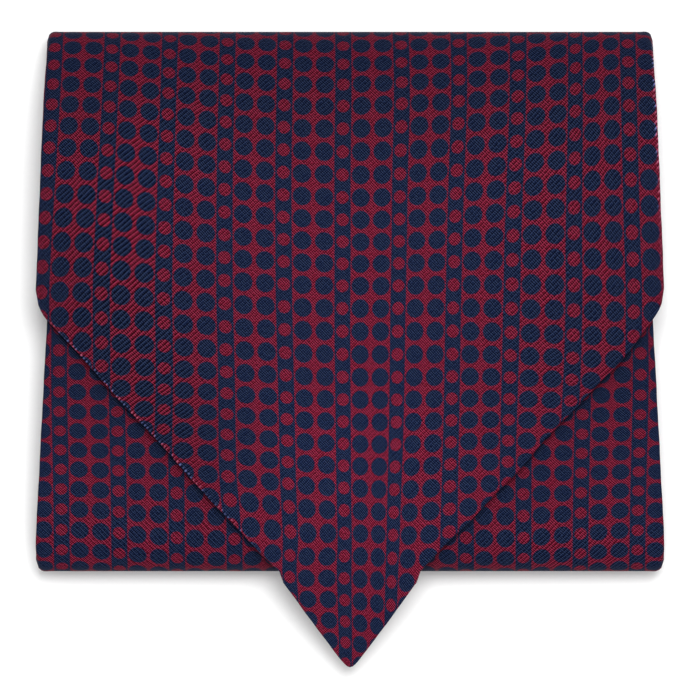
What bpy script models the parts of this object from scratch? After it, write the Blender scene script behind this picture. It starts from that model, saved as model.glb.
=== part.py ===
"""A silk cravat, folded flat on a table with its pointed blade on top.

The cloth runs from the point, up the front, over the top fold, back along the table, round the
bottom fold and up again under the pointed blade. The pleated neckband and the second blade are
folded away inside. X runs across the blade, +Y towards the top fold, +Z up from the table.
Sizes are in millimetres until they reach Blender.
"""

import math

import bmesh
import bpy

MM = 0.001

# The blade is a face and a self-cloth back, sewn together and pressed: one wall.
WALL = 2.2
SEAM_GAP = 0.3
LAYER = WALL + SEAM_GAP
EDGE_ROUND = 0.8

# Plan of the pointed blade.
TIP_Y = -78.5
TIP_RADIUS = 1.2
NARROW_POINT_HALF = 18.0
NARROW_POINT_LENGTH = 23.7
POINT_FLARE = 0.91
SHOULDER_HALF = 77.4
SHOULDER_RADIUS = 10.2
TOP_FOLD_HALF = 75.0

# Height of the blade's outer face down the middle, and how it bends.
BODY_TOP = 18.5
LOWER_TOP = 16.2
LOWER_Y = -54.0
DROOP_START_Y = -46.0
DROOP = 8.0
DROOP_CURVE = 1.7
CROWN = 1.8
CROWN_CURVE = 2.4

# Top fold: where the cloth turns, and how far it reaches back above and below the turn.
TOP_TURN_Y = 78.5
TOP_TURN_Z = 5.5
TOP_REACH_ABOVE = 30.0
TOP_REACH_BELOW = 7.0

# Bottom fold, the same way.
BOTTOM_TURN_Y = -54.7
BOTTOM_TURN_Z = 6.7
BOTTOM_REACH_ABOVE = 11.0
BOTTOM_REACH_BELOW = 7.5

FOLD_CORNER_RADIUS = 2.6

# Plan of the stretch below the blade, which narrows towards the neckband.
UNDER_FOLD_HALF = 77.9
UNDER_TAPER = 0.054
UNDER_END_Y = 58.0

# Plan of the stretch on the table: its narrowest half width, and how far it lies inside.
TABLE_HALF = 74.0
TABLE_INSET = 0.6

# The seams on the table side, where the two folds meet the stretch that lies on the table.
TOP_SEAM_Y = 62.0
BOTTOM_SEAM_Y = -40.0

# Hidden layers: where they end inside the two folds, how wide they are, and their grooves.
CORE_TOP_END_Y = 74.0
CORE_TOP_END_Z = 5.6
CORE_TOP_REACH = 28.0
CORE_BOTTOM_END_Y = -51.4
CORE_BOTTOM_REACH = 8.0
CORE_END_TURN = math.radians(76)
CORE_HALF = 74.0
CORE_TUCK = 6.0
CORE_WANDER = 0.5
GROOVE_DEPTH = 1.7

# Soft swells and hollows that the upper layers share.
SWELLS = (
    # x, y, spread_x, spread_y, height
    (-36.0, -2.0, 20.0, 26.0, -0.45),
    (22.0, 24.0, 26.0, 20.0, 0.40),
    (48.0, -6.0, 16.0, 22.0, -0.30),
    (-6.0, -34.0, 22.0, 12.0, 0.35),
    (-58.0, 38.0, 14.0, 22.0, 0.30),
)

# Places where the blade's edge stands a little off the cloth below.
EDGE_LIFTS = (
    # x, y, spread, lift
    (68.0, -1.0, 9.0, 0.9),
    (-44.0, -32.0, 12.0, 0.4),
    (30.0, -44.0, 10.0, 0.3),
)

# Hidden layers from the table up: share of the height, and how far each edge lies inside.
LAYERS = (
    # share, inset_left, inset_right
    (0.22, 0.8, 2.2),
    (0.19, 2.6, 0.6),
    (0.20, 1.2, 3.0),
    (0.18, 3.2, 1.4),
    (0.21, 0.4, 1.0),
)

BLADE_COLUMNS = 28
BLADE_ROWS = 18
UNDER_COLUMNS = 22
CORE_COLUMNS = 12
CORE_ROWS = 10
COLUMN_CROWDING = 0.8

CRIMSON = (0.125, 0.011, 0.030, 1.0)
NAVY = (0.014, 0.018, 0.048, 1.0)
SHADED_NAVY = (0.010, 0.012, 0.034, 1.0)
SHADED_CRIMSON = (0.080, 0.008, 0.020, 1.0)
SILK_ROUGHNESS = 0.42


def clamp(share):
    """The share kept between 0 and 1."""
    return min(1.0, max(0.0, share))


def smooth(share):
    """An even ramp from 0 to 1 with level ends."""
    share = clamp(share)
    return share * share * (3.0 - 2.0 * share)


def quarter(share):
    """Height of a quarter circle of radius 1 at this distance from its middle."""
    return math.sqrt(max(0.0, 1.0 - share * share))


def steps(low, high, count):
    """count + 1 even values from low to high."""
    return [low + (high - low) * i / count for i in range(count + 1)]


def columns(count):
    """Shares across the cloth from -1 to 1, crowded in the middle and at both edges."""
    crowding = COLUMN_CROWDING / (2 * math.pi)
    return [t - crowding * math.sin(2 * math.pi * t) for t in steps(-1.0, 1.0, count)]


def body_height(y):
    """Height of the blade's outer face down the middle, from the point to the top fold."""
    settled = BODY_TOP - (BODY_TOP - LOWER_TOP) * smooth(y / LOWER_Y)
    hanging = max(0.0, (DROOP_START_Y - y) / (DROOP_START_Y - TIP_Y))
    return settled - DROOP * hanging**DROOP_CURVE


def loft(x, y):
    """How far the upper layers stand above their middle line, fading out into the top fold."""
    swell = sum(
        height * math.exp(-(((x - cx) / sx) ** 2) - ((y - cy) / sy) ** 2)
        for cx, cy, sx, sy, height in SWELLS
    )
    crown = CROWN * abs(x / SHOULDER_HALF) ** CROWN_CURVE
    into_fold = clamp((y - TOP_TURN_Y + TOP_REACH_ABOVE) / TOP_REACH_ABOVE)
    return (swell - crown) * quarter(into_fold)


def edge_lift(x, y):
    """How far the blade's edge stands off the cloth below."""
    return sum(
        lift * math.exp(-((x - cx) ** 2 + (y - cy) ** 2) / spread**2)
        for cx, cy, spread, lift in EDGE_LIFTS
    )


def point_y(x):
    """Where the edge of the pointed blade lies at x: narrow point, wider flare, round shoulder."""
    x = abs(x)
    lean = math.atan(POINT_FLARE)
    corner = NARROW_POINT_LENGTH + (SHOULDER_HALF - NARROW_POINT_HALF) / POINT_FLARE
    round_up = corner + SHOULDER_RADIUS * math.tan(lean / 2)
    round_x = SHOULDER_HALF - SHOULDER_RADIUS
    if x > round_x + SHOULDER_RADIUS * math.cos(lean):
        rise = round_up - SHOULDER_RADIUS * quarter((x - round_x) / SHOULDER_RADIUS)
    elif x > NARROW_POINT_HALF:
        rise = NARROW_POINT_LENGTH + (x - NARROW_POINT_HALF) / POINT_FLARE
    else:
        steepness = NARROW_POINT_LENGTH / NARROW_POINT_HALF
        rise = steepness * (math.hypot(x, TIP_RADIUS) - TIP_RADIUS)
    return TIP_Y + rise


def blade_half(y):
    """Half width of the blade, narrowing from its shoulders to the top fold."""
    shoulder_y = point_y(SHOULDER_HALF)
    above = clamp((y - shoulder_y) / (TOP_TURN_Y - shoulder_y))
    return SHOULDER_HALF + (TOP_FOLD_HALF - SHOULDER_HALF) * above


def under_half(y):
    """Half width of the stretch below the blade."""
    return UNDER_FOLD_HALF - UNDER_TAPER * (y - BOTTOM_TURN_Y)


def table_half(y):
    """Half width of the stretch on the table, just inside the one that shows above it."""
    return max(TABLE_HALF, under_half(y) - TABLE_INSET)


def fold_side(turn_y, turn_z, reach, rise, count):
    """One side of a fold, from its level end to its turn, as (y, z, share of the turn).

    A positive reach brings the cloth to the turn from lower y, a negative one from higher y.
    """
    side = []
    for angle in steps(0.0, math.pi / 2, count):
        across = math.sin(angle)
        y = turn_y - reach * (1.0 - across)
        side.append((y, turn_z + rise * math.cos(angle), across * across))
    return side


def corner_pull(x, half):
    """How far a fold's turn draws back at x, which rounds its two corners."""
    into_corner = clamp((abs(x) - half + FOLD_CORNER_RADIUS) / FOLD_CORNER_RADIUS)
    return FOLD_CORNER_RADIUS * (1.0 - quarter(into_corner))


def blade_rows():
    """Points across the pointed blade's outer face, row by row from the point to its seam."""
    shares = columns(BLADE_COLUMNS)
    level_y = TOP_TURN_Y - TOP_REACH_ABOVE
    rows = []
    for climb in steps(0.0, 1.0, BLADE_ROWS)[:-1]:
        row = []
        for share in shares:
            edge_y = point_y(share * SHOULDER_HALF)
            y = edge_y + (level_y - edge_y) * climb
            x = share * blade_half(y)
            row.append((x, y, body_height(y) + loft(x, y) + edge_lift(x, y)))
        rows.append(row)
    above = fold_side(TOP_TURN_Y, TOP_TURN_Z, TOP_REACH_ABOVE, BODY_TOP - TOP_TURN_Z, 10)
    below = fold_side(TOP_TURN_Y, TOP_TURN_Z, TOP_REACH_BELOW, -TOP_TURN_Z, 5)
    line = above + below[-2::-1] + [(TOP_SEAM_Y + SEAM_GAP, 0.0, 0.0)]
    seam_half = table_half(TOP_SEAM_Y)
    for y, z, turned in line:
        is_above = z > TOP_TURN_Z
        half = blade_half(y) if is_above else seam_half + (TOP_FOLD_HALF - seam_half) * turned
        row = []
        for share in shares:
            x = share * half
            raised = loft(x, y) if is_above else 0.0
            row.append((x, y - corner_pull(x, half) * turned, z + raised))
        rows.append(row)
    return rows


def core_top(y):
    """Height of the hidden layers down the middle."""
    level_y = CORE_TOP_END_Y - CORE_TOP_REACH
    level_z = body_height(max(min(y, level_y), DROOP_START_Y)) - 2 * LAYER
    into_fold = clamp((y - level_y) / CORE_TOP_REACH)
    return CORE_TOP_END_Z + (level_z - CORE_TOP_END_Z) * quarter(into_fold)


def under_rows():
    """Points across the stretch below the blade, from its seam underneath to its hidden end."""
    level_y = BOTTOM_TURN_Y + BOTTOM_REACH_ABOVE
    level_z = core_top(level_y) + LAYER
    rise = level_z - BOTTOM_TURN_Z
    below = fold_side(BOTTOM_TURN_Y, BOTTOM_TURN_Z, -BOTTOM_REACH_BELOW, -BOTTOM_TURN_Z, 5)
    above = fold_side(BOTTOM_TURN_Y, BOTTOM_TURN_Z, -BOTTOM_REACH_ABOVE, rise, 7)
    line = [(BOTTOM_SEAM_Y - SEAM_GAP, 0.0, 0.0), *below, *above[-2::-1]]
    line += [(y, core_top(y) + LAYER, 0.0) for y in steps(level_y, UNDER_END_Y, 13)[1:]]
    seam_half = table_half(BOTTOM_SEAM_Y)
    rows = []
    for y, z, turned in line:
        is_above = z > BOTTOM_TURN_Z
        half = under_half(y) if is_above else seam_half + (UNDER_FOLD_HALF - seam_half) * turned
        raised = clamp((z - BOTTOM_TURN_Z) / rise)
        row = []
        for share in columns(UNDER_COLUMNS):
            x = share * half
            row.append((x, y + corner_pull(x, half) * turned, z + loft(x, y) * raised))
        rows.append(row)
    return rows


def table_rows():
    """Points across the stretch that lies on the table, from the top fold's seam to the bottom's."""
    rows = []
    for y in steps(TOP_SEAM_Y, BOTTOM_SEAM_Y, 6):
        rows.append([(share * table_half(y), y, 0.0) for share in steps(-1.0, 1.0, 4)])
    return rows


def layered_edge(y, side):
    """The edges of the hidden layers on one side at y, as (x, share of the height), table up."""
    edge = []
    foot = 0.0
    for share, inset_left, inset_right in LAYERS:
        inset = inset_right if side > 0 else inset_left
        wander = CORE_WANDER * math.sin(y / 17.0 + 9.0 * foot + side)
        for turn in (-80, -45, 0, 45, 80):
            angle = math.radians(turn)
            x = CORE_HALF - inset + wander - GROOVE_DEPTH * (1.0 - math.cos(angle))
            edge.append((side * x, foot + share * (0.5 + 0.48 * math.sin(angle))))
        foot += share
    return edge


def core_ring(y, floor, top):
    """One closed section of the hidden layers: level below, lofted above, layered at both sides."""
    level = CORE_HALF - CORE_TUCK
    ring = [(share * level, 0.0) for share in steps(-1.0, 1.0, CORE_COLUMNS)]
    ring += layered_edge(y, 1)
    ring += [(share * level, 1.0) for share in steps(1.0, -1.0, CORE_COLUMNS)]
    ring += layered_edge(y, -1)[::-1]
    return [(x, y, floor + (top + loft(x, y) - floor) * share) for x, share in ring]


def core_rings():
    """The sections of the hidden layers, from the bottom fold to the top fold."""
    foot = CORE_BOTTOM_END_Y + CORE_BOTTOM_REACH
    level_y = CORE_TOP_END_Y - CORE_TOP_REACH
    sections = []
    for angle in steps(CORE_END_TURN, 0.0, 4)[:-1]:
        sections.append((foot - CORE_BOTTOM_REACH * math.sin(angle), math.cos(angle)))
    for y in steps(foot, level_y, CORE_ROWS)[:-1]:
        sections.append((y, 1.0))
    for angle in steps(0.0, CORE_END_TURN, 6):
        sections.append((level_y + CORE_TOP_REACH * math.sin(angle), 1.0))
    rings = []
    for y, fullness in sections:
        tall = core_top(y) - LAYER
        belly = LAYER + tall * 0.5 * (1.0 - fullness)
        rings.append(core_ring(y, belly, belly + tall * fullness))
    return rings


def material(name, colour):
    """A silk material."""
    made = bpy.data.materials.new(name)
    made.use_nodes = True
    shader = made.node_tree.nodes["Principled BSDF"]
    shader.inputs["Base Color"].default_value = colour
    shader.inputs["Roughness"].default_value = SILK_ROUGHNESS
    shader.inputs["Metallic"].default_value = 0.0
    made.diffuse_color = colour
    return made


def keep(shape, name, collection, colour):
    """Puts a finished bmesh into the model under its name, with its own material."""
    mesh = bpy.data.meshes.new(name)
    shape.to_mesh(mesh)
    shape.free()
    mesh.materials.append(material(name, colour))
    mesh.shade_smooth()
    mesh.set_sharp_from_angle(angle=math.radians(50))
    made = bpy.data.objects.new(name, mesh)
    collection.objects.link(made)
    return made


def cloth_wall(name, rows, collection, colour):
    """A panel: a grid drawn through the rows, its thickness inwards and its edges rounded."""
    across = len(rows[0])
    shape = bmesh.new()
    bmesh.ops.create_grid(shape, x_segments=across - 1, y_segments=len(rows) - 1, size=1.0)
    for vertex in shape.verts:
        row, column = divmod(vertex.index, across)
        vertex.co = [value * MM for value in rows[row][column]]
    panel = keep(shape, name, collection, colour)
    wall = panel.modifiers.new("Thickness", "SOLIDIFY")
    wall.thickness = WALL * MM
    wall.offset = -1.0
    wall.use_even_offset = True
    rim = panel.modifiers.new("Rounded edges", "BEVEL")
    rim.width = EDGE_ROUND * MM
    rim.segments = 2
    rim.limit_method = "ANGLE"
    rim.angle_limit = math.radians(60)
    return panel


def hidden_layers(collection):
    """The neckband and second blade, folded away: one solid through its sections."""
    shape = bmesh.new()
    rings = [
        [shape.verts.new([value * MM for value in point]) for point in ring]
        for ring in core_rings()
    ]
    for ring, following in zip(rings, rings[1:]):
        for i, corner in enumerate(ring):
            beside = (i + 1) % len(ring)
            shape.faces.new((corner, ring[beside], following[beside], following[i]))
    shape.faces.new(rings[0])
    shape.faces.new(rings[-1])
    bmesh.ops.recalc_face_normals(shape, faces=shape.faces)
    return keep(shape, "folded_layers", collection, SHADED_NAVY)


def main():
    """Clears the scene and builds the folded cravat."""
    for thing in list(bpy.data.objects):
        bpy.data.objects.remove(thing)
    collection = bpy.data.collections.new("Folded silk cravat")
    bpy.context.scene.collection.children.link(collection)
    cloth_wall("front_blade", blade_rows(), collection, CRIMSON)
    cloth_wall("under_blade", under_rows(), collection, NAVY)
    cloth_wall("table_stretch", table_rows(), collection, SHADED_CRIMSON)
    hidden_layers(collection)


main()
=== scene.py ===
"""Looks of the folded silk cravat: its cloth, weave, finish, studio light and camera.

The cravat lies flat and folded on the table. One long strip of doubled silk is wrapped over
a stack of its own hidden layers: the pointed front blade, the top fold, the stretch on the
table, the bottom fold, and the stretch whose two corners show below the blade.

Lengths are in millimetres until a mesh is made, which is in metres. X is across the cloth,
Y towards the top fold and Z up from the table.
"""

from __future__ import annotations

import logging
import math
from dataclasses import dataclass, field
from enum import Enum

import bpy
import numpy as np
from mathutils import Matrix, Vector
from mathutils.kdtree import KDTree

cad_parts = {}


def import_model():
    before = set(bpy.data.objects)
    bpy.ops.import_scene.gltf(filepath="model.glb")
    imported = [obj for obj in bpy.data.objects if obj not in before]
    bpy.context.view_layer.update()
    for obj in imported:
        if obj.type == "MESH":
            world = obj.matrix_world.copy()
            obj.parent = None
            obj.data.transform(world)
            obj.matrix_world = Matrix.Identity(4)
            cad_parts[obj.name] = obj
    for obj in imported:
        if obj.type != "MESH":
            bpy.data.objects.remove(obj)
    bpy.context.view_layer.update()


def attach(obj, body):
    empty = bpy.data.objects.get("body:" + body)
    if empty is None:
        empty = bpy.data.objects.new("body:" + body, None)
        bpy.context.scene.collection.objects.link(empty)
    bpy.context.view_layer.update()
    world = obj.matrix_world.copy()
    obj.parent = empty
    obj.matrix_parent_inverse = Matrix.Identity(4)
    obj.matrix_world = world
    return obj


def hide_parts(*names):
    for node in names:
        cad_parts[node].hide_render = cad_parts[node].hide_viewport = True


MM = 0.001
STRIPE_PITCH = 14.6
ROW_PITCH = 5.56
CLOUD_DETAIL = 1.0
GRAIN_DETAIL = 2.0

Array = np.ndarray
Edge = tuple[Array, Array]
Socket = bpy.types.NodeSocket
Colour = tuple[float, float, float, float]

log = logging.getLogger("cravat")


class Slot(Enum):
    """The record's material slots."""

    FRONT = "front_silk"
    UNDER = "under_silk"
    TABLE = "table_silk"
    LAYERS = "layer_silk"


def clamp(share: Array) -> Array:
    """The share kept between 0 and 1."""
    return np.clip(share, 0.0, 1.0)


def smooth(share: Array) -> Array:
    """An even ramp from 0 to 1 with level ends."""
    share = clamp(share)
    return share * share * (3.0 - 2.0 * share)


def quarter(share: Array) -> Array:
    """Height of a quarter circle of radius 1 at this distance from its middle."""
    return np.sqrt(np.maximum(0.0, 1.0 - np.square(share)))


def crowded(count: int, crowding: float = 0.3) -> Array:
    """count + 1 shares from -1 to 1, closer together in the middle and at both edges."""
    even = np.linspace(-1.0, 1.0, count + 1)
    return even - crowding / (2 * math.pi) * np.sin(2 * math.pi * even)


def bell(across: Array, along: Array) -> Array:
    """A soft round hill of height 1, from distances in its spreads."""
    return np.exp(-np.square(across) - np.square(along))


@dataclass(frozen=True)
class Patch:
    """A soft oval patch of cloth: raised higher, with more wale, with lighter or darker painted
    shading, or with painted glints.
    """

    x: float
    y: float
    spread_x: float
    spread_y: float
    amount: float

    def at(self, x: Array, y: Array) -> Array:
        """The patch's share of its amount at each place."""
        return self.amount * bell((x - self.x) / self.spread_x, (y - self.y) / self.spread_y)


def patchwork(base: float, patches: tuple[Patch, ...], points: Array) -> Array:
    """A value at each point: the base and what every patch adds."""
    x, y = points[..., 0], points[..., 1]
    return base + sum((patch.at(x, y) for patch in patches), 0.0 * x)


@dataclass(frozen=True)
class Crease:
    """A soft ridge, or a trough where its height is negative, along a nearly straight line."""

    start_x: float
    start_y: float
    end_x: float
    end_y: float
    width: float
    height: float
    wander: float = 1.4
    wander_length: float = 9.0
    fading_share: float = 0.35

    def at(self, x: Array, y: Array) -> Array:
        """Height of the crease at each place."""
        along = np.array((self.end_x - self.start_x, self.end_y - self.start_y))
        length = float(np.hypot(*along))
        along = along / length
        run = (x - self.start_x) * along[0] + (y - self.start_y) * along[1]
        off = (x - self.start_x) * along[1] - (y - self.start_y) * along[0]
        off = off + self.wander * np.sin(run / self.wander_length)
        fading = self.fading_share * length
        fade = smooth(run / fading) * smooth((length - run) / fading)
        return self.height * fade * np.exp(-np.square(off / self.width))


@dataclass(frozen=True)
class Drift:
    """A place where the weave lies pushed aside, so that stripes and rows bend softly."""

    x: float
    run: float
    spread_x: float
    spread_run: float
    push_x: float
    push_run: float

    def share(self, x: Array, run: Array) -> Array:
        """How much of the push each place takes."""
        return bell((x - self.x) / self.spread_x, (run - self.run) / self.spread_run)


@dataclass(frozen=True)
class CravatForm:
    """Heights and outlines of the folded cravat.

    They follow its solids. Only the creases, the edge's swells and some tenths of a millimetre
    at the folds are the scene's own.
    """

    layer: float = 2.5
    tip_y: float = -78.9
    tip_radius: float = 1.2
    narrow_half: float = 17.3
    narrow_length: float = 24.1
    point_flare: float = 0.91
    shoulder_half: float = 77.55
    shoulder_radius: float = 10.2
    top_fold_half: float = 75.0
    fold_spread: float = 0.5
    body_top: float = 18.5
    lower_top: float = 16.2
    lower_y: float = -54.0
    droop_start_y: float = -46.0
    droop: float = 8.0
    droop_curve: float = 1.7
    crown: float = 1.8
    crown_curve: float = 2.4
    top_turn_y: float = 78.93
    top_turn_z: float = 5.5
    top_reach_above: float = 30.0
    top_reach_below: float = 7.0
    bottom_turn_y: float = -55.03
    bottom_turn_z: float = 6.7
    bottom_reach_above: float = 11.0
    bottom_reach_below: float = 7.5
    top_corner: float = 2.4
    bottom_corner: float = 2.8
    under_fold_half: float = 78.2
    under_taper: float = 0.054
    under_end_y: float = 58.0
    table_half_width: float = 74.0
    table_inset: float = 0.6
    top_seam_y: float = 62.0
    bottom_seam_y: float = -40.0
    core_top_end_y: float = 74.0
    core_top_end_z: float = 5.6
    core_top_reach: float = 28.0
    swells: tuple[Patch, ...] = (
        Patch(-36.0, -2.0, 20.0, 26.0, -0.45),
        Patch(22.0, 24.0, 26.0, 20.0, 0.40),
        Patch(48.0, -6.0, 16.0, 22.0, -0.30),
        Patch(-6.0, -34.0, 22.0, 12.0, 0.35),
        Patch(-58.0, 38.0, 14.0, 22.0, 0.30),
    )
    # How the blade's edge bulges: at which x, how far to both sides, and by how much.
    edge_swells: tuple[tuple[float, float, float], ...] = (
        (68.5, 6.5, 1.95),
        (57.0, 9.0, 1.80),
        (41.0, 7.0, 1.75),
        (30.0, 5.0, 0.90),
        (-74.0, 6.0, 1.00),
        (-57.0, 10.0, 1.25),
        (-36.0, 10.0, 1.20),
        (-23.0, 5.0, 0.60),
    )
    edge_lifts: tuple[Patch, ...] = (
        Patch(68.0, -1.0, 9.0, 9.0, 0.9),
        Patch(-44.0, -32.0, 12.0, 12.0, 0.4),
        Patch(30.0, -44.0, 10.0, 10.0, 0.3),
    )
    creases: tuple[Crease, ...] = (
        Crease(-66.0, 30.0, -24.0, 49.0, 6.0, 0.16),
        Crease(44.0, 52.0, 62.0, 6.0, 4.0, 0.14),
        Crease(-20.0, 8.0, 4.0, -30.0, 5.0, -0.12),
        Crease(-50.0, -10.0, -22.0, -44.0, 4.5, 0.14),
        Crease(14.0, -8.0, 40.0, -26.0, 5.0, 0.12),
        Crease(-8.0, -50.0, 6.0, -70.0, 3.0, 0.08),
        Crease(-70.0, -36.0, -48.0, -50.0, 3.0, 0.14),
        Crease(58.0, -30.0, 70.0, -48.0, 2.6, 0.12),
    )

    def body_height(self, y: Array) -> Array:
        """Height of the blade's outer face down the middle."""
        settled = self.body_top - (self.body_top - self.lower_top) * smooth(y / self.lower_y)
        hanging = np.maximum(0.0, (self.droop_start_y - y) / (self.droop_start_y - self.tip_y))
        return settled - self.droop * hanging**self.droop_curve

    def loft(self, x: Array, y: Array) -> Array:
        """How far the upper layers stand above their middle line, fading into the top fold."""
        raised = sum(swell.at(x, y) for swell in self.swells)
        raised = raised + sum(crease.at(x, y) for crease in self.creases)
        crown = self.crown * np.abs(x / self.shoulder_half) ** self.crown_curve
        into_fold = clamp((y - self.top_turn_y + self.top_reach_above) / self.top_reach_above)
        return (raised - crown) * quarter(into_fold)

    def edge_lift(self, x: Array, y: Array) -> Array:
        """How far the blade's edge stands off the cloth below."""
        return sum(lift.at(x, y) for lift in self.edge_lifts)

    def point_y(self, x: Array) -> Array:
        """Where the edge of the pointed blade lies at x."""
        swell = sum(
            drop * np.exp(-np.square((x - middle) / spread))
            for middle, spread, drop in self.edge_swells
        )
        x = np.abs(x)
        lean = math.atan(self.point_flare)
        corner = self.narrow_length + (self.shoulder_half - self.narrow_half) / self.point_flare
        round_up = corner + self.shoulder_radius * math.tan(lean / 2)
        round_x = self.shoulder_half - self.shoulder_radius
        steepness = self.narrow_length / self.narrow_half
        narrow = steepness * (np.hypot(x, self.tip_radius) - self.tip_radius)
        flare = self.narrow_length + (x - self.narrow_half) / self.point_flare
        shoulder = round_up - self.shoulder_radius * quarter((x - round_x) / self.shoulder_radius)
        is_shoulder = x > round_x + self.shoulder_radius * math.cos(lean)
        rise = np.where(is_shoulder, shoulder, np.where(x > self.narrow_half, flare, narrow))
        return self.tip_y + rise - swell

    def beyond_edge(self, x: Array, y: Array) -> Array:
        """How far a place lies outside the pointed blade, 0 below it."""
        lean = math.atan(self.point_flare)
        return np.maximum(0.0, self.point_y(x) - y) * math.sin(lean)

    def blade_half(self, y: Array) -> Array:
        """Half width of the blade, narrowing from its shoulders to the top fold."""
        shoulder_y = float(self.point_y(np.float64(self.shoulder_half)))
        above = clamp((y - shoulder_y) / (self.top_turn_y - shoulder_y))
        return self.shoulder_half + (self.top_fold_half - self.shoulder_half) * above

    def under_half(self, y: Array) -> Array:
        """Half width of the stretch below the blade."""
        return self.under_fold_half - self.under_taper * (y - self.bottom_turn_y)

    def table_half(self, y: Array) -> Array:
        """Half width of the stretch on the table."""
        return np.maximum(self.table_half_width, self.under_half(y) - self.table_inset)

    def core_top(self, y: Array) -> Array:
        """Height of the hidden layers down the middle."""
        level_y = self.core_top_end_y - self.core_top_reach
        level_z = self.core_level(y)
        into_fold = clamp((y - level_y) / self.core_top_reach)
        return self.core_top_end_z + (level_z - self.core_top_end_z) * quarter(into_fold)

    def core_level(self, y: Array) -> Array:
        """Height that the hidden layers have before the top fold squeezes them."""
        level_y = self.core_top_end_y - self.core_top_reach
        kept = np.maximum(np.minimum(y, level_y), self.droop_start_y)
        return self.body_height(kept) - 2 * self.layer

    def corner_pull(self, x: Array, half: Array, radius: float) -> Array:
        """How far a fold's turn draws back at x, which rounds its two corners."""
        into_corner = clamp((np.abs(x) - half + radius) / radius)
        return radius * (1.0 - quarter(into_corner))


def fold_side(turn_y: float, turn_z: float, reach: float, rise: float, count: int) -> Array:
    """Rows of y, z and share of the turn on one side of a fold, from its level end to its turn.

    Args:
        turn_y: Where the fold turns.
        turn_z: Height of the turn.
        reach: How far before the turn the cloth starts to bend, negative from higher y.
        rise: Height of the level end above the turn.
        count: How many gaps there are.
    """
    angle = np.linspace(0.0, math.pi / 2, count + 1)
    across = np.sin(angle)
    return np.stack((turn_y - reach * (1.0 - across), turn_z + rise * np.cos(angle), across**2), 1)


def table_rows(start_y: float, end_y: float, count: int) -> Array:
    """Rows of y, z and share of the turn where the cloth lies on the table."""
    y = np.linspace(start_y, end_y, count + 1)
    return np.stack((y, 0 * y, 0 * y), 1)


@dataclass(frozen=True)
class WeaveMap:
    """Where the stripes and rows of spots lie on the cloth, from its drifts."""

    pitch: float
    row_pitch: float
    first_stripe: float
    first_row: float
    drifts: tuple[Drift, ...]
    last_drift_x: float = 68.0

    def place(self, x: Array, run: Array) -> tuple[Array, Array]:
        """The print's own coordinates across and along, on which stripes and rows lie evenly.

        Args:
            x: Place across the flat cloth.
            run: Place along the flat cloth, from the fold.
        """
        across = x - self.first_stripe
        along = run - self.first_row
        inward = np.clip(x, -self.last_drift_x, self.last_drift_x)
        for drift in self.drifts:
            share = drift.share(inward, run)
            across = across + drift.push_x * share
            along = along + drift.push_run * share
        return across * STRIPE_PITCH / self.pitch, along * ROW_PITCH / self.row_pitch


FRONT_WEAVE = WeaveMap(
    pitch=STRIPE_PITCH,
    row_pitch=ROW_PITCH,
    first_stripe=-1.69,
    first_row=8.25,
    drifts=(
        Drift(48.39, 100.10, 35.77, 70.00, 4.00, 3.53),
        Drift(-78.00, 43.47, 45.99, 61.65, 4.00, 3.88),
        Drift(57.23, 12.30, 24.82, 57.39, -1.93, 3.42),
        Drift(-76.09, 30.65, 41.69, 49.15, -2.83, 4.00),
        Drift(-28.69, 148.23, 31.49, 70.00, -2.34, 1.54),
        Drift(70.40, 6.57, 12.53, 44.73, 1.69, 4.00),
        Drift(-50.42, 114.59, 26.49, 18.84, 1.38, 3.97),
        Drift(15.67, 160.42, 11.00, 42.26, 3.55, -1.68),
        Drift(57.06, 84.89, 29.86, 28.82, -1.36, -4.00),
        Drift(16.35, 21.01, 20.88, 16.64, -0.59, 1.10),
        Drift(-3.7, 69.9, 46.0, 22.3, 0.80, 2.97),
        Drift(-18.2, 60.1, 22.1, 29.1, 1.45, 0.76),
        Drift(5.2, 72.5, 60.0, 25.4, 0.17, -1.72),
        Drift(-14.1, 65.1, 32.9, 25.8, -2.14, -1.73),
        Drift(54.2, 84.9, 13.1, 34.7, -0.44, 0.26),
        Drift(-10.0, 138.0, 7.0, 7.0, 0.68, -0.49),
        Drift(-22.0, 118.0, 14.0, 7.0, 0.07, 0.36),
        Drift(-12.0, 132.0, 10.0, 5.0, -0.31, -0.38),
        Drift(10.0, 132.0, 14.0, 7.0, -0.11, 0.19),
        Drift(8.0, 152.0, 5.0, 7.0, -0.05, -0.43),
        Drift(-26.0, 124.0, 7.0, 7.0, -0.34, 0.05),
        Drift(-6.0, 158.0, 5.0, 7.0, -0.35, 0.46),
    ),
)

UNDER_WEAVE = WeaveMap(
    pitch=14.24,
    row_pitch=5.17,
    first_stripe=-0.19,
    first_row=4.58,
    drifts=(
        Drift(-32.2, -1.8, 30.7, 32.6, -0.1, 4.0),
        Drift(64.8, 53.3, 25.9, 28.0, -0.9, 4.0),
        Drift(35.3, -5.0, 26.9, 35.4, -0.5, 3.9),
        Drift(-63.7, 54.4, 21.9, 25.2, 0.6, 3.3),
    ),
)


@dataclass
class ClothSurface:
    """A sheet of cloth in place: both faces, its flat shape, its print, and the values for its
    weave, its painted shading and its painted glints.
    """

    outer: Array
    inner: Array
    flat: Array
    weave: Array
    wale: Array | float = 0.3
    # Painted shading: a scale on the colour that stands for light and shade; 0.9 paints the hidden
    # pieces darker.
    painted_shading: Array | float = 0.9
    # Painted glint: how much of a bright glint colour is painted at the edge near each vertex.
    painted_glint: Array | float = 0.2
    cross: Array | float = 0.1


def path_length(line: Array) -> Array:
    """Distance run along a line of points, from its first."""
    gaps = np.linalg.norm(np.diff(line, axis=0), axis=1)
    return np.concatenate(((0.0,), np.cumsum(gaps)))


def unit(vectors: Array) -> Array:
    """The vectors brought to length 1."""
    return vectors / np.linalg.norm(vectors, axis=-1, keepdims=True)


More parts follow.
